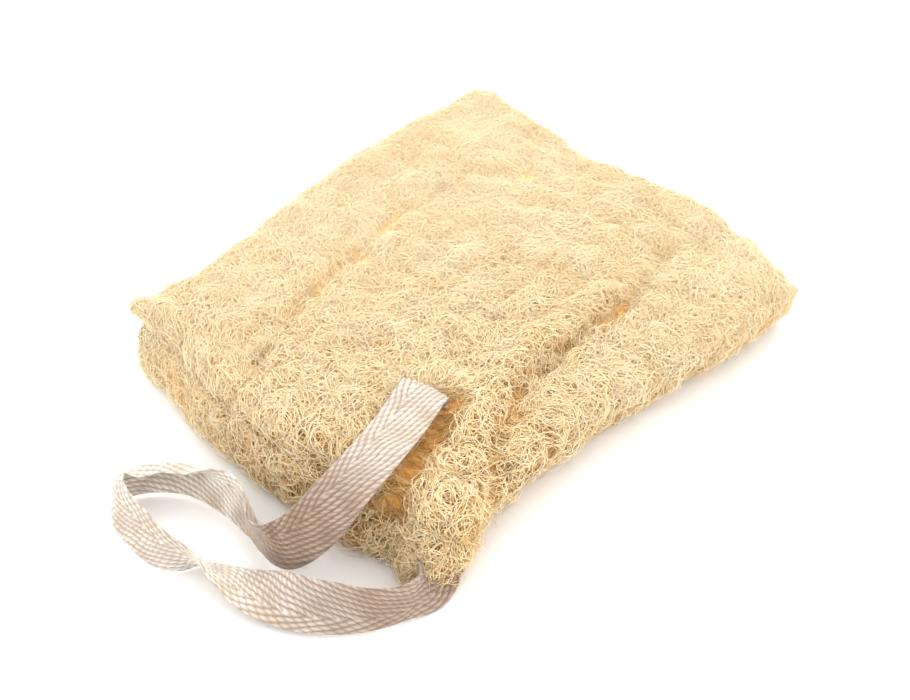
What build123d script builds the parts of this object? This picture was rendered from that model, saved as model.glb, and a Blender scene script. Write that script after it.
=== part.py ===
from build123d import *
import math
import os

# Loofah back scrubber, in millimetres: a length of dried loofah gourd pressed flat, with a loop of woven
# cotton tape. +Z is up, and +Y is along the gourd. The origin is under the middle of the pad, where it rests.

# ---- driving dimensions ----
HALF_WIDTH = 76.0  # of the pad, across the gourd
HALF_LENGTH = 89.0  # of the pad, along the gourd
LOWER_WALL = 12.0  # thicknesses, from the bottom up
CORE = 4.4
UPPER_WALL = 12.0
GAP = 0.3  # between soft pieces that lie on each other
ROLL_TOP = 26.0  # height of the rolled side
CORNER_RADIUS = 9.0  # at the corners of the pad's outline
CREASE_WIDTH = 1.6  # open line between the upper wall and the rolled side
UPPER_INSET = 2.5  # how far the upper wall stands back from the lower wall's edge
CORE_INSET = 1.5  # how far the core stands back from the upper wall's edge
UPPER_ROUNDING = 5.0  # radius along the upper wall's top edge
ROLL_ROUNDING = 3.0
LOWER_ROUNDING = 3.0

TAPE_WIDTH = 15.0
TAPE_THICKNESS = 1.4
SLIT_AT = (34.5, -43.0)
SLIT_TURN = 12.0  # degrees from +X
SLIT_ROOM = 0.5  # between a slit and the tape in it
STUB = 4.0  # how far the free loop reaches into each slit
TAIL_END = 3.4  # how far each tail runs past the join's middle
STITCHES = 4
STITCH_PITCH = 3.4
STITCH_HEIGHT = 3.8
THREAD = 0.8  # side of the stitching thread

# ---- heights that follow ----
core_base = LOWER_WALL + GAP
upper_base = core_base + CORE + GAP
pad_top = upper_base + UPPER_WALL
join_height = core_base + CORE / 2

# ---- outlines seen from above ----
NEAR_EDGE = [(-34, -HALF_LENGTH), (52, -HALF_LENGTH)]
RIGHT_SIDE = [(HALF_WIDTH, -78), (68, -50), (68, -12), (HALF_WIDTH, 55), (HALF_WIDTH, 82)]
FAR_EDGE = [(44, HALF_LENGTH), (8, HALF_LENGTH), (-60, 86)]
LEFT_SIDE = [(-HALF_WIDTH, 84), (-HALF_WIDTH, 52), (-72, 8), (-61, -50), (-60, -78)]
OUTLINE = [*NEAR_EDGE, *RIGHT_SIDE, *FAR_EDGE, *LEFT_SIDE]
CREASE = [(48, 120), (42, 62), (48, 34), (50, -16), (58, -38), (90, -44)]

# ---- middle line of the free tape, from the upper slit to the lower one ----
# It lies flat over the pad and down its near end, stands on edge round the loop, and lies flat under the pad.
TOP_ARM = [(34.7, -43.8, 30.2), (40, -57, 30.6), (45, -73, 31.4), (48, -88, 30), (44.5, -97, 18.5), (37, -103, 8.5)]
LOOP = [(37, -103), (28, -102), (16, -98), (3, -98.5), (-7, -106), (-16, -113.5), (-17.5, -122), (-9, -126.5)]
LOOP += [(4, -127), (16, -126), (26, -119), (40, -117), (55, -110), (66, -98.5), (71, -86)]
UNDER_RUN = [(71, -86), (70, -74), (59, -63), (45, -58), (37, -52), (34.3, -42.2)]


def bend_radii(points):
    """The radius at each inner corner of a route: 0.45 of the shorter run, over the tangent of half the turn."""
    radii = []
    for before, corner, after in zip(points, points[1:], points[2:]):
        arriving = Vector(*corner) - Vector(*before)
        leaving = Vector(*after) - Vector(*corner)
        half_turn = math.radians(arriving.get_angle(leaving)) / 2
        radii.append(0.45 * min(arriving.length, leaving.length) / math.tan(half_turn))
    return radii


# ---- the pad's outline, cut in two along the crease ----
with BuildSketch() as lower_face:
    with BuildLine():
        FilletPolyline(*OUTLINE, radius=CORNER_RADIUS, close=True)
    make_face()

with BuildSketch() as upper_faces:
    add(lower_face.sketch)
    offset(amount=-UPPER_INSET, kind=Kind.INTERSECTION)
    with BuildLine():
        FilletPolyline(*CREASE, radius=bend_radii(CREASE))
    trace(line_width=CREASE_WIDTH, mode=Mode.SUBTRACT)

left_face, right_face = upper_faces.sketch.faces().sort_by(Axis.X)

# ---- where the tape goes through the pad ----
slit = Location((*SLIT_AT, 0), (0, 0, SLIT_TURN))
tail_offset = (TAPE_THICKNESS + GAP) / 2  # from the slit's middle to the middle of each tail
slit_depth = 2 * TAPE_THICKNESS + GAP + 2 * SLIT_ROOM
stitch_depth = 2 * TAPE_THICKNESS + 3 * GAP + 2 * THREAD
pocket_depth = stitch_depth + 2 * SLIT_ROOM
channel_height = TAPE_THICKNESS + SLIT_ROOM

with BuildSketch() as slit_face:
    with Locations(slit):
        Rectangle(TAPE_WIDTH + 2 * SLIT_ROOM, slit_depth)

with BuildSketch() as channel_face:
    with BuildLine():
        FilletPolyline(*UNDER_RUN, radius=bend_radii(UNDER_RUN))
    trace(line_width=TAPE_WIDTH + 2 * SLIT_ROOM)

# ---- lower wall: the pad rests on it, and the tape lies in a shallow channel under it ----
with BuildPart() as loofah_lower_wall:
    add(lower_face.sketch)
    extrude(amount=LOWER_WALL)
    fillet(loofah_lower_wall.faces().sort_by(Axis.Z)[0].edges(), radius=LOWER_ROUNDING)
    add(channel_face.sketch)
    extrude(amount=channel_height, mode=Mode.SUBTRACT)
    add(slit_face.sketch)
    extrude(amount=LOWER_WALL, mode=Mode.SUBTRACT)

# ---- upper wall: rounded along its top edge, with the slit that the tape comes out of ----
with BuildPart() as loofah_upper_wall:
    with BuildSketch(Plane.XY.offset(upper_base)):
        add(left_face)
    extrude(amount=UPPER_WALL)
    fillet(loofah_upper_wall.faces().sort_by(Axis.Z)[-1].edges(), radius=UPPER_ROUNDING)
    with BuildSketch(Plane.XY.offset(upper_base)):
        add(slit_face.sketch)
    extrude(amount=UPPER_WALL, mode=Mode.SUBTRACT)

# ---- rolled side: the folded edge of the flattened tube, beyond the crease ----
with BuildPart() as loofah_rolled_side:
    with BuildSketch(Plane.XY.offset(core_base)):
        add(right_face)
    extrude(amount=ROLL_TOP - core_base)
    fillet(loofah_rolled_side.faces().sort_by(Axis.Z)[-1].edges(), radius=ROLL_ROUNDING)

# ---- core: the webs between the seed channels, pressed flat, with a pocket for the join in the tape ----
with BuildPart() as loofah_core:
    with BuildSketch(Plane.XY.offset(core_base)):
        add(left_face)
        offset(amount=-CORE_INSET, kind=Kind.INTERSECTION)
        with Locations(slit):
            Rectangle(TAPE_WIDTH + 2 * SLIT_ROOM, pocket_depth, mode=Mode.SUBTRACT)
    extrude(amount=CORE)

# ---- the free tape: a flat band over the pad, a band on edge round the loop, a flat band under the pad ----
with BuildPart() as hanging_tape:
    with BuildLine():
        arm = FilletPolyline(*TOP_ARM, radius=bend_radii(TOP_ARM))
    with BuildSketch(Plane(origin=arm @ 0, x_dir=(arm % 0).cross(Vector(0, 0, 1)), z_dir=arm % 0)):
        Rectangle(TAPE_WIDTH, TAPE_THICKNESS)
    sweep(path=arm)
    with BuildSketch():
        with BuildLine():
            loop = FilletPolyline(*LOOP, radius=bend_radii(LOOP))
        trace(line_width=TAPE_THICKNESS)
    extrude(amount=TAPE_WIDTH)
    with BuildSketch():
        with BuildLine():
            under = FilletPolyline(*UNDER_RUN, radius=bend_radii(UNDER_RUN))
        trace(line_width=TAPE_WIDTH)
    extrude(amount=TAPE_THICKNESS)
    with BuildSketch(Plane.XY.offset(pad_top - STUB)):
        with Locations(slit * Location((0, -tail_offset))):
            Rectangle(TAPE_WIDTH, TAPE_THICKNESS)
    extrude(amount=TOP_ARM[0][2] + TAPE_THICKNESS / 2 - pad_top + STUB)
    with BuildSketch():
        with Locations(slit * Location((0, tail_offset))):
            Rectangle(TAPE_WIDTH, TAPE_THICKNESS)
    extrude(amount=STUB)

# ---- the tape's two tails, which lie on each other inside the pad and are sewn together ----
join = slit * Location((0, 0, join_height))
stitch_places = GridLocations(STITCH_PITCH, 1, STITCHES, 1).locations
hole_places = GridLocations(STITCH_PITCH, STITCH_HEIGHT - THREAD, STITCHES, 2).locations


def make_tail(side, low, high):
    """A strip that stands in the slits, on the near side (-1) or the far side (1), with a hole for each thread."""
    with BuildPart() as tail:
        with BuildSketch(Plane.XY.offset(low)):
            with Locations(slit * Location((0, side * tail_offset))):
                Rectangle(TAPE_WIDTH, TAPE_THICKNESS)
        extrude(amount=high - low)
        with Locations([join * Location((0, 0, 0), (90, 0, 0)) * place for place in hole_places]):
            Box(THREAD + GAP, THREAD + GAP, pocket_depth, mode=Mode.SUBTRACT)
    return tail


tape_upper_tail = make_tail(-1, join_height - TAIL_END, pad_top - STUB)
tape_lower_tail = make_tail(1, STUB, join_height + TAIL_END)

# ---- stitches: rings of thread through both tails, side by side across the tape ----
with BuildPart() as join_stitches:
    with Locations([join * place for place in stitch_places]):
        Box(THREAD, stitch_depth, STITCH_HEIGHT)
        Box(THREAD, stitch_depth - 2 * THREAD, STITCH_HEIGHT - 2 * THREAD, mode=Mode.SUBTRACT)

# ---- checks on the tape: its radii, and each band's volume beside its section times its length ----
section = TAPE_WIDTH * TAPE_THICKNESS
for name, route in (("top arm", TOP_ARM), ("loop", LOOP), ("under run", UNDER_RUN)):
    print(name, "radii", [round(radius, 1) for radius in bend_radii(route)])
tape_length = arm.length + loop.length + under.length
print("free tape length", round(tape_length, 1), "section times length", round(section * tape_length))
print("free tape volume", round(hanging_tape.part.volume), "with its two stubs and less its two laps")

# ---- one file for each piece ----
os.makedirs("parts", exist_ok=True)
pieces = {
    "loofah_lower_wall": loofah_lower_wall,
    "loofah_upper_wall": loofah_upper_wall,
    "loofah_rolled_side": loofah_rolled_side,
    "loofah_core": loofah_core,
    "hanging_tape": hanging_tape,
    "tape_upper_tail": tape_upper_tail,
    "tape_lower_tail": tape_lower_tail,
    "join_stitches": join_stitches,
}
for name, piece in pieces.items():
    piece.part.label = name
    export_step(piece.part, f"parts/{name}.step")
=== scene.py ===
import math
from collections import namedtuple

import bpy
import numpy as np
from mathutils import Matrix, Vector


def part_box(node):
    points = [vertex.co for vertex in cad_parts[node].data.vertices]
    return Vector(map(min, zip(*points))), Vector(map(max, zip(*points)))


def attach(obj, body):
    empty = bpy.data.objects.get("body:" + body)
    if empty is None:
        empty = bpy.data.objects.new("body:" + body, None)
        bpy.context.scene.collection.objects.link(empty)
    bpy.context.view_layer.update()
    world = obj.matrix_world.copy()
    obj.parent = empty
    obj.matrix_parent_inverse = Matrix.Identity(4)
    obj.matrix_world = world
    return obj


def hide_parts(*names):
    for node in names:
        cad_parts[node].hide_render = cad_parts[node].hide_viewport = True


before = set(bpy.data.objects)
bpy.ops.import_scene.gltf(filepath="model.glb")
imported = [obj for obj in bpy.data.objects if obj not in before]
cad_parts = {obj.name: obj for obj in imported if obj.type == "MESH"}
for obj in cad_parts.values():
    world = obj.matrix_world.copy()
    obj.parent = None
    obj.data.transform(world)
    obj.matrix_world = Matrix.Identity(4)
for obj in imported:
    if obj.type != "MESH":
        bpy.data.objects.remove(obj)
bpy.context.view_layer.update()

# Loofah back scrubber: a dried gourd's fibre network pressed flat, with a loop of woven cotton tape.
# Everything is in metres, in the frame of the CAD model: +Z up, +Y along the gourd, origin under the pad.

MM = 0.001
PAD_NODES = ("loofah_lower_wall", "loofah_upper_wall", "loofah_rolled_side", "loofah_core")
PAD_LOW = np.min([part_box(node)[0] for node in PAD_NODES], axis=0)
PAD_HIGH = np.max([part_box(node)[1] for node in PAD_NODES], axis=0)
ROLL_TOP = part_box("loofah_rolled_side")[1][2]
CORE_MIDDLE = (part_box("loofah_core")[0][2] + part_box("loofah_core")[1][2]) / 2


def mm(*rows):
    """Points or values given in millimetres, as an array in metres."""
    return np.array(rows, dtype=float) * MM


# ---------------------------------------------------------------- camera
CAMERA_AZIMUTH = math.radians(45)
CAMERA_ELEVATION = math.radians(42)
CAMERA_DISTANCE = 466.7 * MM
CAMERA_TARGET = Vector((17 * MM, -15 * MM, 14 * MM))
FOCAL_LENGTH = 60  # in millimetres, like the sensor's width
SENSOR_WIDTH = 36


def make_camera():
    """The camera that takes the photo's view."""
    data = bpy.data.cameras.new("camera")
    data.lens = FOCAL_LENGTH
    data.sensor_width = SENSOR_WIDTH
    camera = bpy.data.objects.new("camera", data)
    across = math.cos(CAMERA_ELEVATION)
    back = Vector((
        math.sin(CAMERA_AZIMUTH) * across,
        -math.cos(CAMERA_AZIMUTH) * across,
        math.sin(CAMERA_ELEVATION),
    ))
    camera.location = CAMERA_TARGET + back * CAMERA_DISTANCE
    camera.rotation_euler = (-back).to_track_quat("-Z", "Y").to_euler()
    bpy.context.scene.collection.objects.link(camera)
    bpy.context.scene.camera = camera


# ---------------------------------------------------------------- arrays and smooth random fields
WAVE_COUNT = 14  # in one field
WAVE_RATES = (0.6, 1.4)  # the slowest and the fastest of them, as shares of the field's usual rate
WAVE_PEAK = 1.6  # a field is 1 at this many of its standard deviations


def waves(points, size, seed):
    """A smooth random field of about -1 to 1, whose lumps are about size across."""
    draw = np.random.default_rng(seed)
    directions = draw.normal(size=(WAVE_COUNT, points.shape[-1]))
    directions /= np.linalg.norm(directions, axis=1, keepdims=True)
    rates = directions * (math.pi / size) * draw.uniform(*WAVE_RATES, (WAVE_COUNT, 1))
    phases = draw.uniform(0, 2 * math.pi, WAVE_COUNT)
    total = sum(np.sin(points @ rate + phase) for rate, phase in zip(rates, phases))
    return total * math.sqrt(2 / WAVE_COUNT) / WAVE_PEAK


def progress(values, start, reach):
    """How far values have come from start over reach, held between 0 and 1."""
    return np.clip((values - start) / reach, 0, 1)


def graded(grade, share):
    """The grade's first value where share is 0, and the sum of its two values where share is 1."""
    least, gain = grade
    return least + gain * share


def unit(vectors):
    """Each vector scaled to a length of 1. A vector of no length stays as it is."""
    return vectors / np.maximum(np.linalg.norm(vectors, axis=-1, keepdims=True), 1e-12)


def distance_to_line(points, line):
    """The distance, seen from above, from each point to a line of straight runs."""
    nearest = np.full(points.shape[:-1], np.inf)
    for start, end in zip(line, line[1:]):
        run = end[:2] - start[:2]
        along = np.clip(((points[..., :2] - start[:2]) @ run) / (run @ run), 0, 1)
        foot = start[:2] + along[..., None] * run
        nearest = np.minimum(nearest, np.linalg.norm(points[..., :2] - foot, axis=-1))
    return nearest


def grid_normals(points):
    """The normals of a grid that closes round its first axis."""
    around = np.roll(points, -1, axis=0) - np.roll(points, 1, axis=0)
    along = np.gradient(points, axis=1)
    return unit(np.cross(along, around))


# ---------------------------------------------------------------- meshes
def make_mesh(name, points, faces, material, attributes):
    """A smooth mesh object from arrays, on the part's one body. Each row of faces holds four corners, and
    a corner of -1 leaves a triangle. attributes holds one number for each point."""
    corners = faces[faces >= 0]
    counts = (faces >= 0).sum(axis=1)
    mesh = bpy.data.meshes.new(name)
    mesh.vertices.add(len(points))
    mesh.vertices.foreach_set("co", points.astype(np.float32).ravel())
    mesh.loops.add(len(corners))
    mesh.loops.foreach_set("vertex_index", corners.astype(np.int32))
    mesh.polygons.add(len(faces))
    mesh.polygons.foreach_set("loop_start", (np.cumsum(counts) - counts).astype(np.int32))
    mesh.polygons.foreach_set("use_smooth", np.ones(len(faces), dtype=bool))
    mesh.update(calc_edges=True)
    for key, values in attributes.items():
        attribute = mesh.attributes.new(key, "FLOAT", "POINT")
        attribute.data.foreach_set("value", values.astype(np.float32))
    mesh.materials.append(material)
    piece = bpy.data.objects.new(name, mesh)
    bpy.context.scene.collection.objects.link(piece)
    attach(piece, "root")
    return piece


def tubes(line, normals, radius, sides):
    """Closed tubes of three or four sides round the lines: their points and faces."""
    way = unit(np.gradient(line, axis=1))
    side = unit(np.cross(way, normals))
    up = np.cross(side, way)
    angles = 2 * math.pi * np.arange(sides) / sides
    ring = np.cos(angles)[:, None] * side[:, :, None] + np.sin(angles)[:, None] * up[:, :, None]
    points = line[:, :, None] + ring * radius[:, :, None, None]
    count, joints = line.shape[:2]
    index = np.arange(count * joints * sides).reshape(count, joints, sides)
    after = np.roll(index, -1, axis=2)
    quads = np.stack([index[:, :-1], after[:, :-1], after[:, 1:], index[:, 1:]], axis=-1).reshape(-1, 4)
    ends = np.full((2 * count, 4), -1)
    ends[:count, :sides] = index[:, 0, ::-1]
    ends[count:, :sides] = index[:, -1]
    return points.reshape(-1, 3), np.concatenate([quads, ends])


# ---------------------------------------------------------------- materials
# colours at places from 0 to 1 along a ramp
# the fibres' tints: their own tone, with painted shade at the low end, dark orange for deep and coarse
# fibres and where the skin is open
STRAW_COLOURS = (
    (0.0, (0.48, 0.27, 0.08)),
    (0.22, (0.80, 0.51, 0.19)),
    (0.5, (0.96, 0.75, 0.42)),
    (1.0, (1.0, 0.885, 0.65)),
)
STRAW_STAINS = ((0.3, (0.98, 0.95, 0.90)), (0.6, (1.0, 1.0, 1.0)))
# the pith: its own colour at 0, and more painted shade, darker and more orange, towards 1
PITH_COLOURS = ((0.0, (1.0, 0.80, 0.46)), (0.5, (0.93, 0.60, 0.26)), (1.0, (0.86, 0.48, 0.14)))
PITH_MOTTLE = ((0.35, (0.88, 0.80, 0.70)), (0.65, (1.0, 1.0, 1.0)))
# the cotton by the height of its weave: darker where it is low, a painted shade between the yarns
COTTON_COLOURS = ((0.0, (0.40, 0.33, 0.27)), (0.55, (0.74, 0.68, 0.62)), (1.0, (0.93, 0.91, 0.89)))
COTTON_STAINS = ((0.35, (0.93, 0.87, 0.79)), (0.65, (1.0, 1.0, 1.0)))
# painted shade along the tape, from none to the darkest
PAINTED_SHADE_COLOURS = ((0.0, (1.0, 1.0, 1.0)), (1.0, (0.42, 0.32, 0.26)))
SPECULAR = 0.25


def make_material(name, roughness, sheen=0.0):
    material = bpy.data.materials.new(name)
    material.use_nodes = True
    shader = material.node_tree.nodes["Principled BSDF"]
    shader.inputs["Roughness"].default_value = roughness
    shader.inputs["Sheen Weight"].default_value = sheen
    shader.inputs["Specular IOR Level"].default_value = SPECULAR
    return material, material.node_tree, shader


def ramp_of(tree, factor, stops):
    """A colour ramp driven by factor, with (position, colour) stops."""
    ramp = tree.nodes.new("ShaderNodeValToRGB")
    while len(ramp.color_ramp.elements) < len(stops):
        ramp.color_ramp.elements.new(0.5)
    for element, (position, colour) in zip(ramp.color_ramp.elements, stops):
        element.position = position
        element.color = (*colour, 1)
    tree.links.new(factor, ramp.inputs["Fac"])
    return ramp.outputs["Color"]


def noise_of(tree, scale, detail=3.0):
    place = tree.nodes.new("ShaderNodeTexCoord")
    noise = tree.nodes.new("ShaderNodeTexNoise")
    noise.inputs["Scale"].default_value = scale
    noise.inputs["Detail"].default_value = detail
    tree.links.new(place.outputs["Object"], noise.inputs["Vector"])
    return noise.outputs["Fac"]


def attribute_of(tree, name):
    attribute = tree.nodes.new("ShaderNodeAttribute")
    attribute.attribute_name = name
    return attribute.outputs["Fac"]


def multiplied(tree, first, second):
    mix = tree.nodes.new("ShaderNodeMix")
    mix.data_type = "RGBA"
    mix.blend_type = "MULTIPLY"
    mix.inputs["Factor"].default_value = 1
    tree.links.new(first, mix.inputs["A"])
    tree.links.new(second, mix.inputs["B"])
    return mix.outputs["Result"]


def add_bump(tree, shader, height, distance, strength):
    bump = tree.nodes.new("ShaderNodeBump")
    bump.inputs["Distance"].default_value = distance
    bump.inputs["Strength"].default_value = strength
    tree.links.new(height, bump.inputs["Height"])
    tree.links.new(bump.outputs["Normal"], shader.inputs["Normal"])


def make_straw():
    """Loofah fibres: each strand has its own tint, which holds its own tone and painted shade, darker and
    more orange deep in the mat, and faint stains run over all of them.
    """
    material, tree, shader = make_material("loofah_fibre", roughness=0.55, sheen=0.15)
    strand = ramp_of(tree, attribute_of(tree, "tint"), STRAW_COLOURS)
    stain = ramp_of(tree, noise_of(tree, scale=38), STRAW_STAINS)
    tree.links.new(multiplied(tree, strand, stain), shader.inputs["Base Color"])
    return material


def make_pith():
    """The deep network seen between the fibres, with painted shade: darker and more orange the deeper it
    is.
    """
    material, tree, shader = make_material("loofah_pith", roughness=0.8)
    depth = ramp_of(tree, attribute_of(tree, "depth"), PITH_COLOURS)
    mottle = ramp_of(tree, noise_of(tree, scale=700), PITH_MOTTLE)
    tree.links.new(multiplied(tree, depth, mottle), shader.inputs["Base Color"])
    add_bump(tree, shader, noise_of(tree, scale=900), distance=1 * MM, strength=0.8)
    return material


def make_cotton():
    """Unbleached cotton: darker between the yarns as painted shade, with painted shade along parts of the
    tape, stained, with a fine twist.
    """
    material, tree, shader = make_material("cotton_tape", roughness=0.85, sheen=0.35)
    # painted shade between the yarns, from the weave's height
    yarn = ramp_of(tree, attribute_of(tree, "relief"), COTTON_COLOURS)
    stain = ramp_of(tree, noise_of(tree, scale=60), COTTON_STAINS)
    # painted shade along the tape
    painted_shade = ramp_of(tree, attribute_of(tree, "painted_shade"), PAINTED_SHADE_COLOURS)
    stained = multiplied(tree, yarn, stain)
    tree.links.new(multiplied(tree, stained, painted_shade), shader.inputs["Base Color"])
    add_bump(tree, shader, noise_of(tree, scale=2600, detail=2.0), distance=0.2 * MM, strength=0.6)
    return material


# ---------------------------------------------------------------- woven strip
TAPE_WIDTH = 15 * MM
TAPE_THICKNESS = 1.4 * MM
ROW_STEP = 0.31 * MM
FACE_POINTS = 49  # across each face
EDGE_SHARPNESS = 14  # the higher, the nearer to the edges the strip keeps its thickness
RELIEF = 0.6 * MM
RIB_PITCH = 1.65 * MM  # from one rib of floats to the next
RIB_LEAN = math.tan(math.radians(14))  # the ribs cross the tape's length at this angle
RIB_SQUARENESS = 1.6
FLOAT_PITCH = 2.2 * MM  # from one slanted float to the next along a rib
FLOAT_SLANT = 0.5  # how far a float runs on from the middle of its rib to the edge, in pitches
FLOAT_SHIFT = 0.37  # how far the floats of a rib lie beyond those of the one before, in pitches
FLOAT_ROUNDNESS = 0.8
FLOAT_BASE = 0.2  # the height between two floats of a rib, as a share of the rib's
POINT_LINE = 0.4  # where the herringbone turns, from -1 to 1 across the tape
UNEVEN = 0.2  # how far the yarns wander, in pitches
UNEVEN_SIZE = 6 * MM
WEAR = 0.25  # how much the height of the weave varies
WEAR_SIZE = 5 * MM


def weave(along, across):
    """The height of the weave, 0 to 1: leaning ribs of slanted floats, mirrored at the point line."""
    uneven = UNEVEN * waves(np.stack([along, across * TAPE_WIDTH / 2], axis=-1), UNEVEN_SIZE, seed=9)
    from_point = (across - POINT_LINE) * TAPE_WIDTH / 2
    place = (np.abs(from_point) + along * RIB_LEAN) / RIB_PITCH + uneven
    rib = np.floor(place)
    inside = 2 * (place - rib) - 1
    slant = np.sign(from_point) * FLOAT_SLANT * inside
    turn = along / FLOAT_PITCH - slant + FLOAT_SHIFT * rib + uneven
    strand = np.abs(np.cos(math.pi * turn)) ** FLOAT_ROUNDNESS
    crown = 1 - np.abs(inside) ** RIB_SQUARENESS
    return crown * (FLOAT_BASE + (1 - FLOAT_BASE) * strand)


def end_faces(ring):
    """The faces that shut an end of a strip, whose ring of points has these numbers: quads between the
    front and the back, and a triangle at each edge."""
    front = ring[:FACE_POINTS]
    back = np.concatenate([ring[:1], ring[:FACE_POINTS - 2:-1]])
    quads = np.stack([front[:-1], back[:-1], back[1:], front[1:]], axis=-1)[1:-1]
    first = (front[0], back[1], front[1], -1)
    last = (front[-2], back[-2], front[-1], -1)
    return np.concatenate([quads, [first, last]])


def woven_strip(line, normal, along):
    """A strip of herringbone whose middle surface is a grid of points: its points as rows of closed
    rings, its faces, and the height of the weave at each point."""
    across = np.linspace(-1, 1, FACE_POINTS)
    rows = np.repeat(along[:, None], FACE_POINTS, axis=1)
    spread = np.repeat(across[None], len(along), axis=0)
    wear = 1 + WEAR * waves(np.stack([rows, spread * TAPE_WIDTH / 2], axis=-1), WEAR_SIZE, seed=8)
    core = TAPE_THICKNESS / 2 - RELIEF
    thin = np.sqrt(np.clip(1 - np.abs(spread) ** EDGE_SHARPNESS, 0, 1))
    front_relief = weave(rows, spread) * wear
    back_relief = weave(rows + FLOAT_PITCH / 2, spread) * wear
    front = line + normal * ((core + RELIEF * front_relief.clip(0, 1)) * thin)[..., None]
    back = line - normal * ((core + RELIEF * back_relief.clip(0, 1)) * thin)[..., None]
    ring = np.concatenate([front, back[:, -2:0:-1]], axis=1)
    relief = np.concatenate([front_relief, back_relief[:, -2:0:-1]], axis=1)
    index = np.arange(relief.size).reshape(relief.shape)
    after = np.roll(index, -1, axis=1)
    quads = np.stack([index[:-1], after[:-1], after[1:], index[1:]], axis=-1).reshape(-1, 4)
    faces = np.concatenate([quads, end_faces(index[0]), end_faces(index[-1])[:, ::-1]])
    return ring, faces, relief


# ---------------------------------------------------------------- cotton tape
CURL_START = 0.1  # where the curl begins, from -1 to 1 across the tape
CURL_REACH = 0.5  # how much further across it is complete
FLUTTER = 0.10  # how far the edges rise and fall along the tape, in radians
FLUTTER_SIZE = 22 * MM
ENTRY_DOME = 0.6  # how far the edges are bent down where it comes out of the slit, in radians
ENTRY_REACH = 5 * MM
FUZZ_COUNT = 7000  # loose fibres standing off the cotton
FUZZ_LENGTH = mm(0.7, 2.4)
FUZZ_LIFT = mm(0.0, 0.8)
FUZZ_ARC = 0.75 * math.pi  # how much of a wave they rise along
FUZZ_TURN = 0.7  # how far they turn away from the tape's length, in radians
FUZZ_BOW = 0.3 * MM
FUZZ_THICKNESS = 0.07 * MM
FUZZ_TAPER = 0.5
FUZZ_JOINTS = 4
FUZZ_SIDES = 3
FUZZ_RELIEF = 0.9  # their colour is that of this height of the weave
FUZZ_SEED = 17
# painted shade on the tape, from 0 to 1, at these shares of its length: most where it bends down to the
# floor and where it runs under the pad
TAPE_PAINTED_SHADE = (
    (0, 0.25), (0.1, 0.3), (0.17, 0.85), (0.25, 1), (0.29, 0.5), (0.33, 0), (0.45, 0), (0.5, 0.2),
    (0.57, 0.35), (0.61, 0), (0.66, 0.4), (0.75, 0.85), (1, 0.9),
)

# The middle of the tape, the way to its marked edge, and how far that edge curls over, in radians. The
# tape comes out of the upper slit, crosses the pad, stands on edge round the loop with half a twist, and
# goes flat under the pad to the lower slit.
TAPE_ROUTE = [
    ((0.0341, -0.0424, 0.0250), (-0.98, -0.2, 0.0), 0.0),
    ((0.0344, -0.0429, 0.0300), (-0.98, -0.2, 0.05), 0.0),
    ((0.0366, -0.0484, 0.0309), (-0.97, -0.22, 0.05), 0.0),
    ((0.0402, -0.0580, 0.0304), (-0.97, -0.25, 0.0), 0.0),
    ((0.0450, -0.0730, 0.0314), (-0.97, -0.25, 0.0), 0.0),
    ((0.0480, -0.0880, 0.0300), (-0.98, -0.15, 0.05), 0.0),
    ((0.0445, -0.0970, 0.0190), (-0.72, 0.05, 0.69), 0.0),
    ((0.0370, -0.1030, 0.0090), (-0.3, 0.15, 0.94), 0.0),
    ((0.0280, -0.1025, 0.0082), (0.05, 0.05, 1.0), 1.0),
    ((0.0190, -0.0993, 0.0081), (-0.15, 0.33, 0.93), 0.5),
    ((0.0080, -0.0986, 0.0081), (-0.2, 0.35, 0.92), 0.1),
    ((-0.0040, -0.1002, 0.0080), (-0.25, 0.35, 0.9), 2.2),
    ((-0.0112, -0.1058, 0.0080), (-0.25, 0.35, 0.9), 2.0),
    ((-0.0152, -0.1120, 0.0082), (-0.2, 0.25, 0.95), 2.2),
    ((-0.0165, -0.1200, 0.0085), (-0.1, 0.15, 1.0), 0.8),
    ((-0.0090, -0.1240, 0.0080), (0.1, 0.35, 0.93), 0.0),
    ((0.0028, -0.1250, 0.0078), (0.05, 0.4, 0.9), 0.0),
    ((0.0130, -0.1253, 0.0080), (0.15, 0.25, 0.95), 0.0),
    ((0.0187, -0.1225, 0.0078), (0.25, 0.05, 0.96), 0.0),
    ((0.0228, -0.1196, 0.0072), (0.47, -0.3, 0.83), 0.0),
    ((0.0275, -0.1178, 0.0056), (0.59, -0.59, 0.55), 0.0),
    ((0.0350, -0.1155, 0.0044), (0.68, -0.68, 0.24), 0.0),
    ((0.0440, -0.1128, 0.0052), (0.69, -0.69, -0.17), 0.0),
    ((0.0545, -0.1100, 0.0074), (0.47, -0.47, -0.74), 0.0),
    ((0.0628, -0.1038, 0.0080), (0.3, -0.33, -0.9), 0.0),
    ((0.0695, -0.0982, 0.0085), (0.08, -0.1, -0.99), 0.0),
    ((0.0740, -0.0912, 0.0086), (0.0, 0.05, -1.0), 0.0),
    ((0.0742, -0.0855, 0.0080), (0.0, 0.1, -1.0), 0.0),
    ((0.0705, -0.0765, 0.0044), (0.85, 0.2, -0.5), 0.0),
    ((0.0620, -0.0650, 0.0011), (0.7, 0.7, 0.0), 0.0),
    ((0.0480, -0.0580, 0.0011), (0.3, 0.95, 0.0), 0.0),
    ((0.0372, -0.0520, 0.0011), (0.7, 0.7, 0.0), 0.0),
    ((0.0343, -0.0420, 0.0011), (0.98, 0.2, 0.0), 0.0),
    ((0.0345, -0.0420, 0.0040), (0.98, 0.2, 0.0), 0.0),
]


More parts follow.
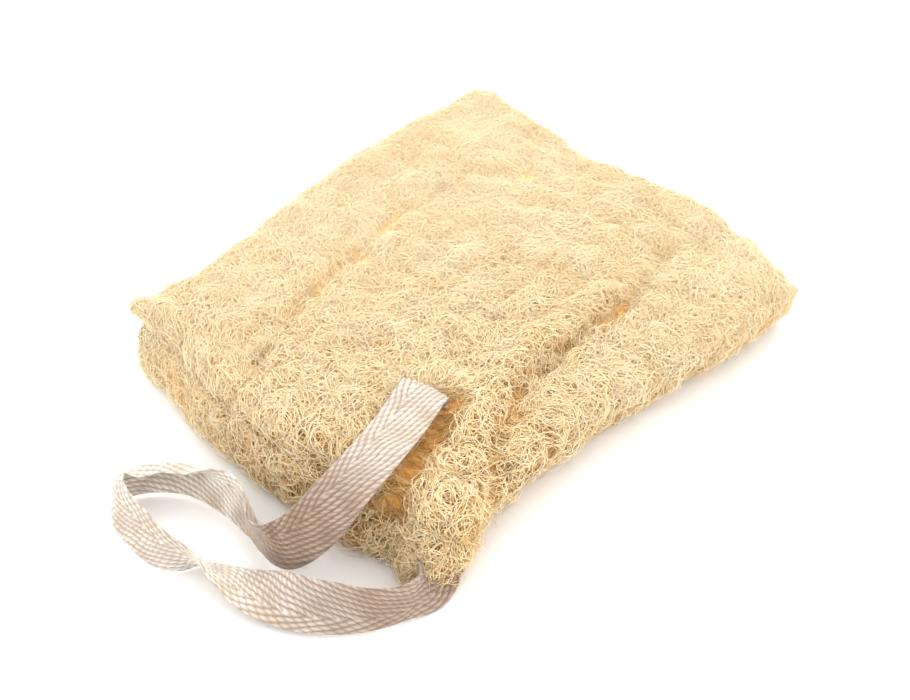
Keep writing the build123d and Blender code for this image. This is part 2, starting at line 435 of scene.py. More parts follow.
def spline_points(name, points):
    """Points along the smooth NURBS line that has these control points."""
    curve = bpy.data.curves.new(name, "CURVE")
    curve.dimensions = "3D"
    spline = curve.splines.new("NURBS")
    spline.points.add(len(points) - 1)
    for control, place in zip(spline.points, points):
        control.co = (*place, 1)
    spline.order_u = 3
    spline.use_endpoint_u = True
    spline.resolution_u = 40
    holder = bpy.data.objects.new(name, curve)
    mesh = bpy.data.meshes.new_from_object(holder)
    found = np.array([vertex.co for vertex in mesh.vertices])
    bpy.data.meshes.remove(mesh)
    bpy.data.objects.remove(holder)
    bpy.data.curves.remove(curve)
    return found


def at_even_steps(line, *fields):
    """The line and its fields, read at even steps along its length, and that length at each step."""
    length = np.concatenate([[0], np.cumsum(np.linalg.norm(np.diff(line, axis=0), axis=1))])
    steps = np.linspace(0, length[-1], int(length[-1] / ROW_STEP) + 1)
    evened = []
    for field in (line, *fields):
        evened.append(np.stack([np.interp(steps, length, column) for column in field.T], axis=1))
    return (*evened, steps)


def tape_lines():
    """The tape's middle line, the ways to its marked edge and out of its face, its curl, and the length
    so far. The edge and the curl follow splines of their own, the curl as a lift in millimetres."""
    places = []
    edges = []
    curls = []
    for position, way, curl in TAPE_ROUTE:
        place = Vector(position)
        places.append(place)
        edges.append(place + Vector(way).normalized() * TAPE_WIDTH / 2)
        curls.append(place + Vector((0, 0, curl * MM)))
    middle = spline_points("tape_middle", places)
    edge = spline_points("tape_edge", edges)
    curled = spline_points("tape_curl", curls)
    middle, edge, curled, along = at_even_steps(middle, edge, curled)
    forward = unit(np.gradient(middle, axis=0))
    out = edge - middle
    out = unit(out - (out * forward).sum(axis=1, keepdims=True) * forward)
    face = np.cross(out, forward)
    curl = ((curled - middle)[:, 2] / MM).clip(0)
    return middle, out, face, curl, along


def loose_fibres(ring, draw):
    """Short fibres that stand off a strip: their points and faces, and the row of each point."""
    outward = -grid_normals(ring.transpose(1, 0, 2)).transpose(1, 0, 2)
    row = draw.integers(1, len(ring) - 1, FUZZ_COUNT)
    column = draw.integers(0, ring.shape[1], FUZZ_COUNT)
    away = outward[row, column]
    # fibres of odd rows lie back along the strip, and those of even rows forward
    forward = unit(ring[row + 1 - 2 * (row % 2), column] - ring[row, column])
    sideways = np.cross(away, forward)
    turn = draw.normal(0, FUZZ_TURN, (FUZZ_COUNT, 1))
    way = forward * np.cos(turn) + sideways * np.sin(turn)
    share = np.linspace(0, 1, FUZZ_JOINTS)[None, :, None]
    length = draw.uniform(*FUZZ_LENGTH, (FUZZ_COUNT, 1, 1))
    lift = draw.uniform(*FUZZ_LIFT, (FUZZ_COUNT, 1, 1))
    bow = draw.normal(0, FUZZ_BOW, (FUZZ_COUNT, 1, 1))
    line = ring[row, column][:, None] + way[:, None] * length * share
    line = line + away[:, None] * lift * np.sin(FUZZ_ARC * share)
    line = line + np.cross(away, way)[:, None] * bow * share**2
    line[..., 2] = np.maximum(line[..., 2], FUZZ_THICKNESS)
    radius = FUZZ_THICKNESS / 2 * (1 - FUZZ_TAPER * share[..., 0]) * np.ones((FUZZ_COUNT, 1))
    points, faces = tubes(line, np.repeat(away[:, None], FUZZ_JOINTS, axis=1), radius, FUZZ_SIDES)
    return points, faces, np.repeat(row, FUZZ_JOINTS * FUZZ_SIDES)


def make_tape(material):
    """The free loop of tape, from the upper slit to the lower one."""
    middle, out, face, curl, along = tape_lines()
    # the tape's bent cross-section, as a line of points from the plain edge to the marked one
    across = np.linspace(-1, 1, FACE_POINTS)
    bend = curl[:, None] * progress(across, CURL_START, CURL_REACH)
    flutter = FLUTTER * waves(np.stack([along, np.ones_like(along)], axis=1), FLUTTER_SIZE, seed=5)
    dome = ENTRY_DOME * np.exp(-(along / ENTRY_REACH) ** 2)
    bend = bend + (flutter - dome)[:, None] * across
    step = TAPE_WIDTH / (FACE_POINTS - 1)
    centre = FACE_POINTS // 2
    sideways = np.cumsum(np.cos(bend), axis=1) * step
    lifted = np.cumsum(np.sin(bend), axis=1) * step
    sideways -= sideways[:, centre:centre + 1]
    lifted -= lifted[:, centre:centre + 1]
    line = middle[:, None] + sideways[..., None] * out[:, None] + lifted[..., None] * face[:, None]
    normal = np.cos(bend)[..., None] * face[:, None] - np.sin(bend)[..., None] * out[:, None]

    ring, faces, relief = woven_strip(line, normal, along)
    fuzz, fuzz_faces, fuzz_rows = loose_fibres(ring, np.random.default_rng(FUZZ_SEED))
    fuzz_faces = np.where(fuzz_faces >= 0, fuzz_faces + relief.size, -1)
    # how much painted shade each row of the tape has
    painted_shade = np.interp(along / along[-1], *zip(*TAPE_PAINTED_SHADE))
    tape = make_mesh(
        "hanging_tape_weave",
        np.concatenate([ring.reshape(-1, 3), fuzz]),
        np.concatenate([faces, fuzz_faces]),
        material,
        {
            "relief": np.concatenate([relief.ravel(), np.full(len(fuzz), FUZZ_RELIEF)]),
            "painted_shade": np.concatenate([np.repeat(painted_shade, ring.shape[1]), painted_shade[fuzz_rows]]),
        },
    )
    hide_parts("hanging_tape")


# ---------------------------------------------------------------- the join inside the pad
SLIT_TURN = math.radians(12)  # the slit's direction, from +X
SLIT_ACROSS = np.array([math.cos(SLIT_TURN), math.sin(SLIT_TURN), 0])
SLIT_THROUGH = np.array([-math.sin(SLIT_TURN), math.cos(SLIT_TURN), 0])
UP = np.array([0, 0, 1])
# painted shade on the tails inside the pad
TAIL_PAINTED_SHADE = 0.3
JOIN = mm(34.5, -43, 14.5)
STITCH_PLACES = mm(-5.1, -1.7, 1.7, 5.1)  # across the tape
STITCH_REACH = mm(2.25, 1.5)  # half of a stitch's depth and height, to the middle of its thread
THREAD_RADIUS = 0.2 * MM  # of each of the thread's two plies
THREAD_TWISTS = 9  # in one stitch
THREAD_SIDES = 4
STITCH_JOINTS = 60


def make_tail(node, material):
    """One end of the tape, which stands upright inside the pad."""
    low, high = (np.array(corner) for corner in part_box(node))
    along = np.linspace(0, high[2] - low[2], int((high[2] - low[2]) / ROW_STEP))
    start = np.array([(low[0] + high[0]) / 2, (low[1] + high[1]) / 2, low[2]])
    middle = start + along[:, None] * UP
    spread = np.linspace(-1, 1, FACE_POINTS)[:, None] * SLIT_ACROSS * TAPE_WIDTH / 2
    line = middle[:, None] + spread[None]
    ring, faces, relief = woven_strip(line, np.broadcast_to(-SLIT_THROUGH, line.shape), along)
    attributes = {"relief": relief.ravel(), "painted_shade": np.full(relief.size, TAIL_PAINTED_SHADE)}
    tail = make_mesh(f"{node}_weave", ring.reshape(-1, 3), faces, material, attributes)
    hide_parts(node)


def squared(wave):
    """A sine or cosine wave that stays longer near 1 and -1, for a loop with flat sides."""
    return np.sign(wave) * np.sqrt(np.abs(wave))


def make_stitches(material):
    """The thread that joins the two tails: closed loops through both, each of two twisted plies."""
    turn = np.linspace(0, 2 * math.pi, STITCH_JOINTS)
    deep = squared(np.cos(turn)) * STITCH_REACH[0]
    tall = squared(np.sin(turn)) * STITCH_REACH[1]
    loop = deep[:, None] * SLIT_THROUGH + tall[:, None] * UP
    outward = unit(loop)
    plies = []
    for place in STITCH_PLACES:
        for phase in (0, math.pi):
            twist = THREAD_TWISTS * turn + phase
            offset = np.cos(twist)[:, None] * SLIT_ACROSS + np.sin(twist)[:, None] * outward
            plies.append(JOIN + SLIT_ACROSS * place + loop + offset * THREAD_RADIUS)
    plies = np.array(plies)
    radius = np.full(plies.shape[:2], THREAD_RADIUS)
    points, faces = tubes(plies, np.broadcast_to(outward, plies.shape), radius, THREAD_SIDES)
    thread = make_mesh("join_stitches_thread", points, faces, material, {"relief": np.ones(len(points))})
    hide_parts("join_stitches")


# ---------------------------------------------------------------- the pad's surface
# The flattened gourd is a closed sleeve. Its grid runs round the sleeve (columns) and along it (rows),
# and its four edges stand in from the CAD box by these amounts in millimetres, at these shares of the way
# along or across.
LEFT_INSET = (
    (0, 18), (0.06, 15), (0.1, 14), (0.22, 14), (0.41, 8), (0.55, 3), (0.65, 2), (0.79, 0), (1, 0),
)
RIGHT_INSET = (
    (0, 0), (0.06, 2), (0.12, 7), (0.2, 9), (0.45, 8.3), (0.63, 5), (0.74, 2), (0.85, 0), (1, 2),
)
NEAR_INSET = (
    (0, 7), (0.12, 5), (0.27, 1.2), (0.4, 0), (0.6, 1), (0.67, 4), (0.76, 2), (0.8, 6), (0.84, 10),
    (0.88, 10), (0.92, 8), (0.96, 10), (1, 15),
)
FAR_INSET = (
    (0, 0.5), (0.09, 0), (0.3, 3), (0.45, 4), (0.63, 0), (0.8, 0), (0.86, 1), (0.92, 5), (1, 5),
)
GRID_STEP = 0.8 * MM
EDGE_POINTS = 20  # round each rounded edge
SIDE_RADIUS = 11 * MM  # how far in from a side edge the rounding reaches
END_RADIUS = 6.5 * MM
END_FULLNESS = 0.7  # below 1, the ends are blunter than round
SEAM_DROP = 1.5 * MM  # how far below the core's middle the sides are widest
BOTTOM_SKIN = 0.7 * MM  # the height of the underside
TOP_SKIN = 1.8 * MM  # how far the upper surface lies below the CAD box, to leave room for fibres

# lines on the pad, seen from above
CREASE = mm(
    (44, 86), (41, 66), (38, 56), (44, 43), (48, 33), (49, 4), (49, -18), (58, -36), (69, -55), (76, -66),
)
GROOVE = mm((-6, -84), (-12, -65), (-22, -40), (-26, -25), (-32, 9), (-34, 30))
RIDGE = mm((40, 24), (44, -20), (50, -38), (59, -48), (65, -58), (68.5, -68), (71, -74))
TAPE_VALLEY = mm((41, -42), (44.5, -49), (48, -57), (51, -65), (54, -73), (57, -81))
SLIT = mm((27, -44.6), (42, -41.4))

# folds of the upper surface along those lines, with their depth and width: a depth below 0 stands up
FOLDS = (
    (GROOVE, 2.2 * MM, 3.0 * MM),
    (TAPE_VALLEY, 2.6 * MM, 4.4 * MM),
    (SLIT, -1.4 * MM, 6.0 * MM),
    (SLIT, 1.6 * MM, 1.5 * MM),
    (RIDGE, -2.0 * MM, 5.0 * MM),
)
CREASE_DEPTH = 1.7 * MM
CREASE_WIDTH = 3.0 * MM
CREASE_FADE = 0.7  # how much of its depth the crease loses towards the far end
CREASE_FADE_START = 10 * MM
CREASE_FADE_REACH = 50 * MM
ROLL_STEP = 1.5 * MM  # how softly the rolled side steps down at the crease
FAR_FALL = 3.8 * MM  # how much thinner the pad is at its far end
FAR_FALL_START = 30 * MM
FAR_FALL_REACH = 60 * MM
FAR_FALL_CURVE = 1.5
SWELL = 1.1 * MM  # wide rises and hollows of the upper surface
SWELL_SIZE = 30 * MM

# the near end: it leans back as it rises, and a groove runs along it under the upper wall's rim
NEAR_SLOPE = 0.34
NEAR_SHARE = 0.12  # the share of the length that this lean reaches
NEAR_FOOT = 5 * MM  # the height that keeps its place
RIM_DEPTH = 1.6 * MM
RIM_HEIGHT = 19 * MM
RIM_WIDTH = 2 * MM
RIM_FACING = (0.3, 0.4)  # it starts where the skin faces forward so far, and is full so much further

# places where the skin is drawn out: the place, how far round it this reaches, and the shift
NUDGES = (
    (mm((-53, -75, 25)), 6 * MM, mm((-3.5, -3.0, 1.0))),
    (mm((-56, -78, 26)), 3.5 * MM, mm((-3.0, -2.5, 0.5))),
)

# lumps all over the sleeve: their size, and their height in millimetres, where the small ones grow with
# coarseness
WIDE_LUMP_SIZE = 9 * MM
WIDE_LUMP_HEIGHT = 0.7
SMALL_LUMP_SIZE = 4 * MM
SMALL_LUMP_HEIGHT = (0.3, 0.5)

# coarseness grows from the far left to the near right
COARSE_ACROSS = 0.65
COARSE_NEARER = 0.43
COARSE_CURVE = 1.6
SIDE_COARSENESS = 0.55  # at least this, on the upright sides

# Places where the skin is open and the pith shows, with a dark orange painted shade there: along these
# lines, with their reach and how open they are in their matted and in their open patches, and in these
# pits, with their reach.
PATCH_SIZE = 4 * MM
OPEN_LINES = (
    (TAPE_VALLEY[:5], 5.0 * MM, 1.0, 1.0),
    (CREASE[4:], 2.4 * MM, 0.1, 0.75),
    (GROOVE[:5], 1.8 * MM, 0.0, 0.45),
)
OPEN_PITS = (
    (mm((-24.8, -16.5, 28)), 2.6 * MM),
    (mm((-19.3, 55.8, 27)), 2.2 * MM),
    (mm((57, -30, 25)), 3.0 * MM),
    (mm((66, -47, 22)), 3.4 * MM),
    (mm((72, -58, 6)), 9.0 * MM),
)


def inset(table, share):
    return np.interp(share, [row[0] for row in table], [row[1] * MM for row in table])


def crease_at(y):
    """How far to the right the crease lies at each y."""
    return np.interp(y, CREASE[::-1, 1], CREASE[::-1, 0])


def folded(height, points, line, depth, width):
    return height - depth * np.exp(-(distance_to_line(points, line) / width) ** 2)


def top_height(points):
    """The height of the upper surface: a soft plateau, lower on the rolled side, with its folds."""
    x, y = points[..., 0], points[..., 1]
    rolled = 1 / (1 + np.exp(-(x - crease_at(y)) / ROLL_STEP))
    height = PAD_HIGH[2] - TOP_SKIN - rolled * (PAD_HIGH[2] - ROLL_TOP)
    height = height + SWELL * waves(points[..., :2], SWELL_SIZE, seed=11)
    height = height - FAR_FALL * progress(y, FAR_FALL_START, FAR_FALL_REACH) ** FAR_FALL_CURVE
    fade = 1 - CREASE_FADE * progress(y, CREASE_FADE_START, CREASE_FADE_REACH)
    height = folded(height, points, CREASE, CREASE_DEPTH * fade, CREASE_WIDTH)
    for line, depth, width in FOLDS:
        height = folded(height, points, line, depth, width)
    return height


def coarseness(points):
    """How open and curly the fibres are, from 0 at the matted far left to 1 at the near right."""
    across = (points[..., 0] - PAD_LOW[0]) / (PAD_HIGH[0] - PAD_LOW[0])
    nearer = (PAD_HIGH[1] - points[..., 1]) / (PAD_HIGH[1] - PAD_LOW[1])
    return np.clip(COARSE_ACROSS * across + COARSE_NEARER * nearer, 0, 1) ** COARSE_CURVE


def openness(points):
    """How open the skin is, from 0 where it is matted to 1 where only the pith shows."""
    patches = np.clip(0.5 + waves(points, PATCH_SIZE, seed=15), 0, 1)
    above = points[..., 2] > CORE_MIDDLE
    found = np.zeros(points.shape[:-1])
    for line, reach, least, most in OPEN_LINES:
        near_line = np.exp(-(distance_to_line(points, line) / reach) ** 2) * above
        found = np.maximum(found, (least + (most - least) * patches) * near_line)
    for place, reach in OPEN_PITS:
        found = np.maximum(found, np.exp(-(np.linalg.norm(points - place, axis=-1) / reach) ** 2))
    return found


def sleeve_section(width):
    """The section of the sleeve, from the right edge over the top to the left edge and back below: each
    point's share of the way across, and its lift, from -1 below to 1 on top."""
    turn = np.linspace(0, math.pi / 2, EDGE_POINTS)
    edge = SIDE_RADIUS / width * (1 - np.cos(turn))
    flat = np.linspace(edge[-1], 1 - edge[-1], int(width / GRID_STEP))[1:-1]
    across = np.concatenate([1 - edge, flat[::-1], edge[::-1]])
    lift = np.concatenate([np.sin(turn), np.ones(len(flat)), np.sin(turn)[::-1]])
    across = np.concatenate([across, across[::-1][1:-1]])
    lift = np.concatenate([lift, -lift[::-1][1:-1]])
    return across, lift


def sleeve_run(length):
    """The rows of the sleeve from its near end: their share of the way along, and how full they are."""
    turn = np.linspace(0, math.pi / 2, EDGE_POINTS)
    edge = END_RADIUS / length * (1 - np.cos(turn))
    flat = np.linspace(edge[-1], 1 - edge[-1], int(length / GRID_STEP))[1:-1]
    along = np.concatenate([edge, flat, 1 - edge[::-1]])
    fullness = np.concatenate([np.sin(turn), np.ones(len(flat)), np.sin(turn)[::-1]]) ** END_FULLNESS
    return along, fullness


def make_surface():
    """The grid of points on the sleeve."""
    across, lift = sleeve_section(PAD_HIGH[0] - PAD_LOW[0])
    along, fullness = sleeve_run(PAD_HIGH[1] - PAD_LOW[1])
    s, t = np.meshgrid(across, along, indexing="ij")
    left = PAD_LOW[0] + inset(LEFT_INSET, t)
    right = PAD_HIGH[0] - inset(RIGHT_INSET, t)
    near = PAD_LOW[1] + inset(NEAR_INSET, s)
    far = PAD_HIGH[1] - inset(FAR_INSET, s)
    points = np.stack([left + (right - left) * s, near + (far - near) * t, np.zeros_like(s)], axis=-1)

    middle = CORE_MIDDLE - SEAM_DROP
    rise = lift[:, None] * fullness[None]
    above = (top_height(points) - middle) * rise
    below = (middle - BOTTOM_SKIN) * rise
    points[..., 2] = middle + np.where(rise > 0, above, below)
    leaning = np.clip(1 - t / NEAR_SHARE, 0, 1) * NEAR_SLOPE
    points[..., 1] += leaning * (points[..., 2] - NEAR_FOOT)
    for place, reach, shift in NUDGES:
        closeness = np.exp(-((points - place) ** 2).sum(axis=-1, keepdims=True) / reach**2)
        points += closeness * shift

    normals = grid_normals(points)
    wide = WIDE_LUMP_HEIGHT * waves(points, WIDE_LUMP_SIZE, seed=13)
    small = graded(SMALL_LUMP_HEIGHT, coarseness(points)) * waves(points, SMALL_LUMP_SIZE, seed=14)
    near_half = t < 0.5
    facing = progress(-normals[..., 1], *RIM_FACING) * near_half
    groove = RIM_DEPTH * facing * np.exp(-((points[..., 2] - RIM_HEIGHT) / RIM_WIDTH) ** 2)
    return points + normals * ((wide + small) * MM - groove)[..., None]


# ---------------------------------------------------------------- holes between the fibres
HOLE_SPACING = 4.2 * MM
HOLE_RADII = (0.5 * MM, 1.5 * MM)
HOLE_WIDENING = (0.25, 1.2)  # how much wider holes are, in matted and more in coarse places
HOLE_WINDOW = 6  # grid cells to each side that a hole can reach
HOLE_PUSH = 0.5  # how far fibres are moved out of a hole, in its radius
PUSH_REACH = 2  # how far from its middle it moves them, in its radius
PIT_REACH = 1.3  # and how far the pith is sunk


def make_holes(points, areas, coarse, draw):
    """Openings scattered over the grid: how each point is pushed out of them, and how deep it lies."""
    push = np.zeros_like(points)
    depth = np.zeros(areas.shape)
    columns, rows = areas.shape
    count = int(areas.sum() / HOLE_SPACING**2)
    chosen = draw.choice(areas.size, count, p=(areas / areas.sum()).ravel())
    widths = graded(HOLE_WIDENING, coarse).ravel()[chosen]
    for cell, radius in zip(chosen, draw.uniform(*HOLE_RADII, count) * widths):
        column, row = divmod(cell, rows)
        near_columns = np.arange(column - HOLE_WINDOW, column + HOLE_WINDOW + 1) % columns
        near_rows = np.arange(max(row - HOLE_WINDOW, 0), min(row + HOLE_WINDOW + 1, rows))
        window = np.ix_(near_columns, near_rows)
        away = points[window] - points[column, row]
        distance = np.linalg.norm(away, axis=-1)
        pushed = np.clip(1 - distance / (PUSH_REACH * radius), 0, 1)
        sunk = np.clip(1 - distance / (PIT_REACH * radius), 0, 1)
        push[window] += unit(away) * (HOLE_PUSH * radius * pushed)[..., None]
        depth[window] = np.maximum(depth[window], sunk * radius)
    return push, depth


# ---------------------------------------------------------------- fibres
# Each layer has its share of the strands, how far they stand off the surface, how much further their
# middle arches and one end flicks up, their thickness, how sharply they curl, how bright they are, where
# the deeper layers are darker as painted shade, and how far they are missing where the skin is open.
Layer = namedtuple("Layer", "name share depth arch flick thickness curl tint thinned")
LAYERS = (
    Layer("deep", 0.23, mm(-1.5, -0.7), mm(-0.1, 0.3), mm(0, 0), mm(0.22, 0.34), 0.30, 0.18, 0.3),
    Layer("mat", 0.35, mm(-0.7, 0.0), mm(-0.1, 0.5), mm(0, 0), mm(0.21, 0.31), 0.36, 0.52, 0.9),
    Layer("top", 0.34, mm(-0.2, 0.2), mm(0.1, 1.4), mm(-0.4, 0.8), mm(0.19, 0.29), 0.44, 0.86, 1.0),
    Layer("stray", 0.08, mm(-0.3, 0.1), mm(0.2, 1.4), mm(0.4, 3.4), mm(0.14, 0.22), 0.45, 0.90, 0.9),
)
TUFT = Layer("tuft", 1.0, mm(-0.4, 0.4), mm(0.2, 1.8), mm(-0.5, 4.0), mm(0.18, 0.28), 0.46, 0.84, 1.0)
# where the tufts are, how far round that they reach, and how many strands each has
TUFTS = (
    (mm((67, -66, 18)), 11 * MM, 750),
    (mm((33, -40, 28)), 6 * MM, 450),
    (mm((64, -81, 5)), 7 * MM, 500),
)
STRANDS = {"loofah_upper_wall": 52000, "loofah_rolled_side": 12000, "loofah_lower_wall": 18000}
MOST_STRANDS = 3900  # in one piece
SIDE_EXTRA = 1.5  # how much more thickly the lower wall's strands grow on its sides than underneath
STRAND_LENGTH = mm(7, 13)
TUFT_LENGTH = mm(6, 12)
STRAND_JOINTS = 8
STRAND_SIDES = 3
STRAND_SEED = 7
WANDER = 0.6  # how far the curl changes along a strand
ROUGHNESS = 0.12 * MM  # how far a strand's joints lie off its smooth line
TAPER = 0.55  # how much thinner a strand is at its ends
TAPER_CURVE = 3
FLICK_CURVE = 3
FLOOR_GAP = 0.1 * MM  # the lowest fibres lie this far above the floor
DIVE = 3.2 * MM  # how far strands dip where the skin is open
# painted shade: where the skin is open, strands turn to this dark orange tint
OPEN_TINT = 0.25  # the tint that strands take on there

# The fibres lean in patches, except near the ridge, where they are combed across it.
LEAN_SIZE = 16 * MM
LEAN_SPREAD = (0.9, -0.5)  # in radians, in the patches and less where they are combed
COMB_REACH = 13 * MM

# what coarseness does: the value in matted places, and how much is added where the fibres are coarsest
CURL_GRADE = (0.7, 0.6)
LIFT_GRADE = (0.3, 1.0)
DEPTH_GRADE = (0.4, 0.6)
THICKNESS_GRADE = (0.62, 0.5)
CONTRAST_GRADE = (0.25, 1.0)
TINT_SPREAD = (0.05, 0.14)
# painted shade: the deeper layers are darker than the matted tint, and the coarsest fibres darker still
MATTED_TINT = 0.86  # the layers' tints differ from this one by the contrast
COARSE_SHADE = 0.2  # how much darker the coarsest fibres are
MATTED_WEIGHT = 1.3  # how likely strands are to start in matted places


class Surface:
    """The sleeve's grid, read at any place on it."""

    def __init__(self, points, draw):
        around = np.roll(points, -1, axis=0) - points
        along = np.zeros_like(points)
        along[:, :-1] = np.diff(points, axis=1)
        self.points = points
        self.areas = np.linalg.norm(np.cross(around, along), axis=-1)
        self.normals = grid_normals(points)
        # 1 on the sides, 0 on the top and underside
        self.upright = 1 - np.abs(self.normals[..., 2])
        self.coarse = np.maximum(coarseness(points), SIDE_COARSENESS * self.upright)
        self.push, self.holes = make_holes(points, self.areas, self.coarse, draw)
        self.open = openness(points)
        self.column_step = np.linalg.norm(around, axis=-1)
        self.row_step = np.linalg.norm(np.gradient(points, axis=1), axis=-1)

    def read(self, field, column, row):
        """The field's values between the grid points, at these columns and rows."""
        columns, rows = self.areas.shape
        # past either end of the sleeve, the way goes on along its other side
        past_end = (row < 0) | (row > rows - 1)
        column = np.where(past_end, columns - column, column)
        row = rows - 1 - np.abs(rows - 1 - np.abs(row))
        # just short of the last row, so that there is always a next one
        row = np.clip(row, 0, rows - 1.001)
        low_column = np.floor(column).astype(int)
        low_row = np.floor(row).astype(int)
        column_share = column - low_column
        row_share = row - low_row
        if field.ndim == 3:
            column_share = column_share[..., None]
            row_share = row_share[..., None]
        first = low_column % columns
        second = (low_column + 1) % columns
        low = field[first, low_row] * (1 - column_share) + field[second, low_row] * column_share
        high = field[first, low_row + 1] * (1 - column_share) + field[second, low_row + 1] * column_share
        return low * (1 - row_share) + high * row_share


def walk(surface, column, row, heading, step):
    """The columns and rows of strands that start at these places and step along their headings."""
    columns_at = np.empty(heading.shape)
    rows_at = np.empty(heading.shape)
    for joint in range(STRAND_JOINTS):
        columns_at[:, joint] = column
        rows_at[:, joint] = row
        across = np.maximum(surface.read(surface.column_step, column, row), GRID_STEP / 2)
        along = np.maximum(surface.read(surface.row_step, column, row), GRID_STEP / 2)
        column = column + np.cos(heading[:, joint]) * step / across
        row = row + np.sin(heading[:, joint]) * step / along
    return columns_at, rows_at


def grow(surface, draw, count, weight, layer, length):
    """Curly strands over the surface: their middle lines, the normals, their radius and their tint, which
    holds each strand's own tone and painted shade. weight is how likely a strand is to start in each grid
    cell."""
    thinning = MATTED_WEIGHT - layer.thinned * surface.coarse
    weight = weight * (1 - layer.thinned * surface.open) * thinning
    chosen = draw.choice(weight.size, count, p=(weight / weight.sum()).ravel())
    rows = weight.shape[1]
    column = chosen // rows + draw.random(count)
    row = chosen % rows + draw.random(count)
    start = surface.read(surface.points, column, row)
    coarse = surface.read(surface.coarse, column, row)

    combed = np.exp(-(distance_to_line(start, RIDGE) / COMB_REACH) ** 2) * (start[:, 2] > CORE_MIDDLE)
    lean = (1 - combed) * math.pi * waves(start, LEAN_SIZE, seed=21)
    lean = lean + draw.normal(0, graded(LEAN_SPREAD, combed), count)
    curl = layer.curl * graded(CURL_GRADE, coarse)
    bend = draw.normal(0, 1, (count, 1)) * curl[:, None]
    wander = draw.normal(0, WANDER, (count, STRAND_JOINTS)) * curl[:, None]
    heading = lean[:, None] + np.cumsum(bend + wander, axis=1)
    step = draw.uniform(*length, count) / (STRAND_JOINTS - 1)
    columns_at, rows_at = walk(surface, column, row, heading, step)

    share = np.linspace(0, 1, STRAND_JOINTS)
    arch = draw.uniform(*layer.arch, count) * graded(LIFT_GRADE, coarse)
    depth = draw.uniform(*layer.depth, count) * graded(DEPTH_GRADE, coarse)
    flick = draw.uniform(*layer.flick, count) * graded(LIFT_GRADE, coarse)
    height = depth[:, None] + arch[:, None] * np.sin(math.pi * share)
    height = height + flick[:, None] * share**FLICK_CURVE
    height = height + draw.normal(0, ROUGHNESS, (count, STRAND_JOINTS))
    opened = surface.read(surface.open, columns_at, rows_at)
    height = height - layer.thinned * DIVE * opened
    normals = unit(surface.read(surface.normals, columns_at, rows_at))
    line = surface.read(surface.points, columns_at, rows_at)
    line = line + surface.read(surface.push, columns_at, rows_at)
    line = line + normals * height[..., None]
    thickness = draw.uniform(*layer.thickness, count) * graded(THICKNESS_GRADE, coarse)
    radius = thickness[:, None] / 2 * (1 - TAPER * np.abs(2 * share - 1) ** TAPER_CURVE)
    line[..., 2] = np.maximum(line[..., 2], radius + FLOOR_GAP)

    # painted shade: the deeper layers and coarse places are darker, and strands turn dark orange where the
    # skin is open; the random spread is the fibres' own tone
    contrast = (layer.tint - MATTED_TINT) * graded(CONTRAST_GRADE, coarse)
    tint = MATTED_TINT + contrast - COARSE_SHADE * coarse**2
    tint = tint + draw.normal(0, 1, count) * graded(TINT_SPREAD, coarse)
    shown = opened.mean(axis=1)
    tint = np.clip(tint, 0, 1) * (1 - shown) + OPEN_TINT * shown
    return line, normals, radius, tint


def fibre_piece(name, node, strands, material):
    """One piece of many strands, which stands for this node of the CAD model."""
    line, normals, radius, tint = strands
    points, faces = tubes(line, normals, radius, STRAND_SIDES)
    tints = np.repeat(tint, STRAND_JOINTS * STRAND_SIDES)
    piece = make_mesh(name, points, faces, material, {"tint": tints})
    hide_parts(node)


# ---------------------------------------------------------------- the pad's pieces
# how far the pith lies below the surface, in millimetres: everywhere, in coarse places and in open ones
SINK = 0.4
COARSE_SINK = 1.6
COARSE_SINK_CURVE = 1.5
OPEN_SINK = 0.3
# How much painted shade the pith has, darker and more orange, from 0 to 1: most in holes this deep, graded
# by coarseness, and more so in open and in coarse places.
ORANGE_SHADE_DEPTH = 1.6 * MM
ORANGE_SHADE_GRADE = (0.4, 0.6)
OPEN_ORANGE_SHADE = 0.7
COARSE_ORANGE_SHADE = 0.5


def make_body(surface, material):
    """The pith: the sleeve's own closed skin, sunk below the fibres and deeper in the holes."""
    coarse_sink = COARSE_SINK * surface.coarse**COARSE_SINK_CURVE
    sink = (SINK + coarse_sink + OPEN_SINK * surface.open) * MM + surface.holes
    sunk = surface.points - surface.normals * sink[..., None]
    index = np.arange(sink.size).reshape(sink.shape)
    after = np.roll(index, -1, axis=0)
    quads = np.stack([index[:, :-1], after[:, :-1], after[:, 1:], index[:, 1:]], axis=-1).reshape(-1, 4)
    # painted shade on the pith: darker and more orange in deep holes, open places and coarse places
    orange_shade = surface.holes / ORANGE_SHADE_DEPTH * graded(ORANGE_SHADE_GRADE, surface.coarse)
    orange_shade = orange_shade + OPEN_ORANGE_SHADE * surface.open
    orange_shade = np.clip(orange_shade + COARSE_ORANGE_SHADE * surface.coarse**2, 0, 1)
    body = make_mesh("loofah_pith_body", sunk.reshape(-1, 3), quads, material, {"depth": orange_shade.ravel()})
    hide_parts("loofah_core")


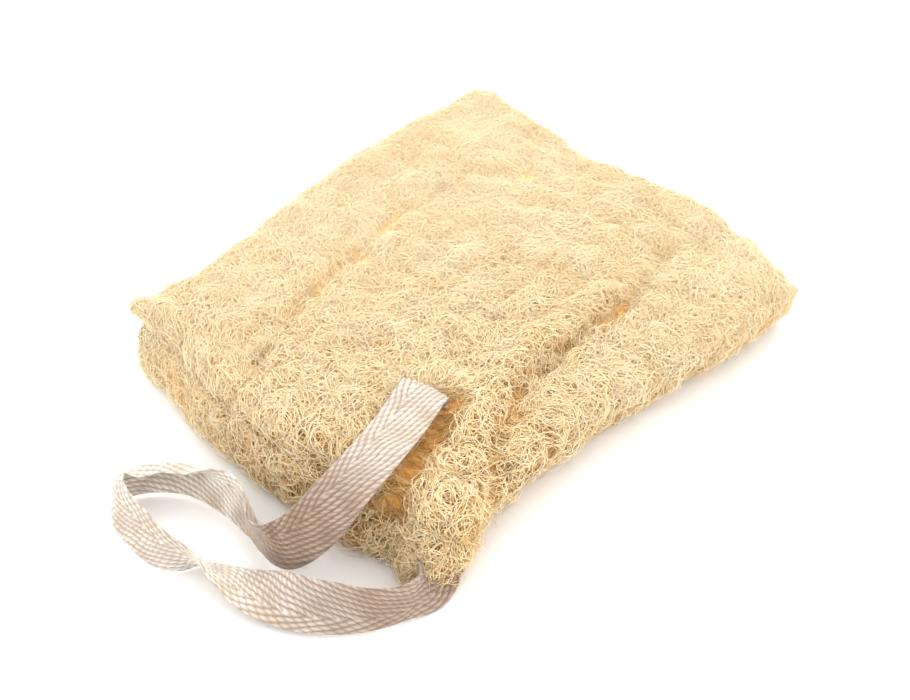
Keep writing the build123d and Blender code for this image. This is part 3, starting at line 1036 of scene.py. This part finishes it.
def make_pad(straw, pith):
    """The pith, the layers of strands over it, and the tufts."""
    draw = np.random.default_rng(STRAND_SEED)
    surface = Surface(make_surface(), draw)
    make_body(surface, pith)

    x, y, z = np.moveaxis(surface.points, -1, 0)
    above = z > CORE_MIDDLE
    rolled = above & (x > crease_at(y))
    regions = {
        "loofah_upper_wall": above & ~rolled,
        "loofah_rolled_side": rolled,
        "loofah_lower_wall": ~above * (1 + SIDE_EXTRA * surface.upright),
    }
    for node, region in regions.items():
        for layer in LAYERS:
            count = int(STRANDS[node] * layer.share)
            parts = math.ceil(count / MOST_STRANDS)
            weight = surface.areas * region
            for part in range(parts):
                name = f"{node}_{layer.name}_fibres_{part + 1}"
                strands = grow(surface, draw, count // parts, weight, layer, STRAND_LENGTH)
                fibre_piece(name, node, strands, straw)

    for number, (place, reach, count) in enumerate(TUFTS, 1):
        nearness = np.exp(-((surface.points - place) ** 2).sum(axis=-1) / reach**2)
        strands = grow(surface, draw, count, surface.areas * nearness, TUFT, TUFT_LENGTH)
        fibre_piece(f"loofah_upper_wall_tuft_{number}", "loofah_upper_wall", strands, straw)


# ---------------------------------------------------------------- light and floor
WORLD_COLOUR = (1.0, 0.99, 0.97, 1)
WORLD_STRENGTH = 1.7
KEY_COLOUR = (1.0, 0.97, 0.92)
KEY_ENERGY = 19
KEY_SIZE = 1.8
KEY_PLACE = (-0.7, 1.3, 1.9)
FLOOR_COLOUR = (0.93, 0.93, 0.93, 1)
FLOOR_HALF = 3.0
FLOOR_DROP = 0.2 * MM


def make_studio():
    """A bright world, one large soft light from the far left, and a plain pale floor."""
    scene = bpy.context.scene
    world = bpy.data.worlds.new("studio")
    world.use_nodes = True
    background = world.node_tree.nodes["Background"]
    background.inputs["Color"].default_value = WORLD_COLOUR
    background.inputs["Strength"].default_value = WORLD_STRENGTH
    scene.world = world
    scene.view_settings.view_transform = "Standard"

    light = bpy.data.lights.new("key", "AREA")
    light.shape = "DISK"
    light.size = KEY_SIZE
    light.energy = KEY_ENERGY
    light.color = KEY_COLOUR
    key = bpy.data.objects.new("key", light)
    key.location = KEY_PLACE
    key.rotation_euler = (-key.location).to_track_quat("-Z", "Y").to_euler()
    scene.collection.objects.link(key)

    material, _, shader = make_material("floor", roughness=0.9)
    shader.inputs["Base Color"].default_value = FLOOR_COLOUR
    corners = [(FLOOR_HALF * x, FLOOR_HALF * y, 0) for x, y in ((-1, -1), (1, -1), (1, 1), (-1, 1))]
    mesh = bpy.data.meshes.new("floor")
    mesh.from_pydata(corners, [], [(0, 1, 2, 3)])
    mesh.materials.append(material)
    floor = bpy.data.objects.new("floor", mesh)
    floor.location.z = -FLOOR_DROP
    scene.collection.objects.link(floor)


make_camera()
cotton = make_cotton()
make_tape(cotton)
make_pad(make_straw(), make_pith())
for tail_node in ("tape_upper_tail", "tape_lower_tail"):
    make_tail(tail_node, cotton)
make_stitches(cotton)
make_studio()
